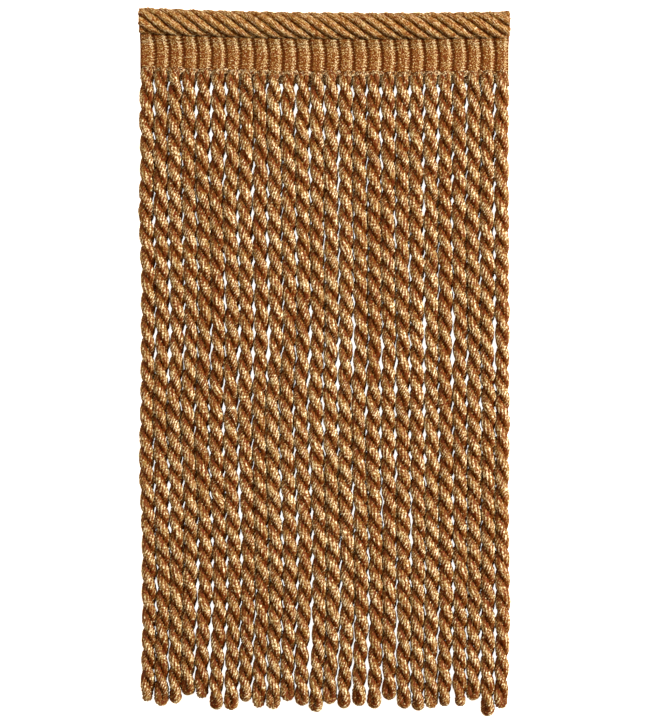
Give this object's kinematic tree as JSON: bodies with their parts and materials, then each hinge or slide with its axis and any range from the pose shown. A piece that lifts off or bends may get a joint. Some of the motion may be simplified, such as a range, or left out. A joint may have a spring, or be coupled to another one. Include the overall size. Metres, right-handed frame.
{
  "type": "cord fringe trim",
  "caption": "Cut length of bullion fringe trim: a laid rope over a ribbed band, with twisted loop-ended cords hanging side by side.",
  "frame": {"origin": "middle of the footprint, on the surface that the trim lies on", "axes": "+X along the heading, +Y from the tips of the strands up to the heading, +Z out of the trim's face"},
  "size_m": [0.13, 0.25, 0.0096],
  "materials": {
    "rope_yarn": "satin",
    "band_yarn": "satin",
    "strand_yarn": "satin"
  },
  "bodies": {
    "root": {"heading_rope": "rope_yarn", "heading_band": "band_yarn", "bullion_skirt": "strand_yarn"}
  },
  "joints": []
}
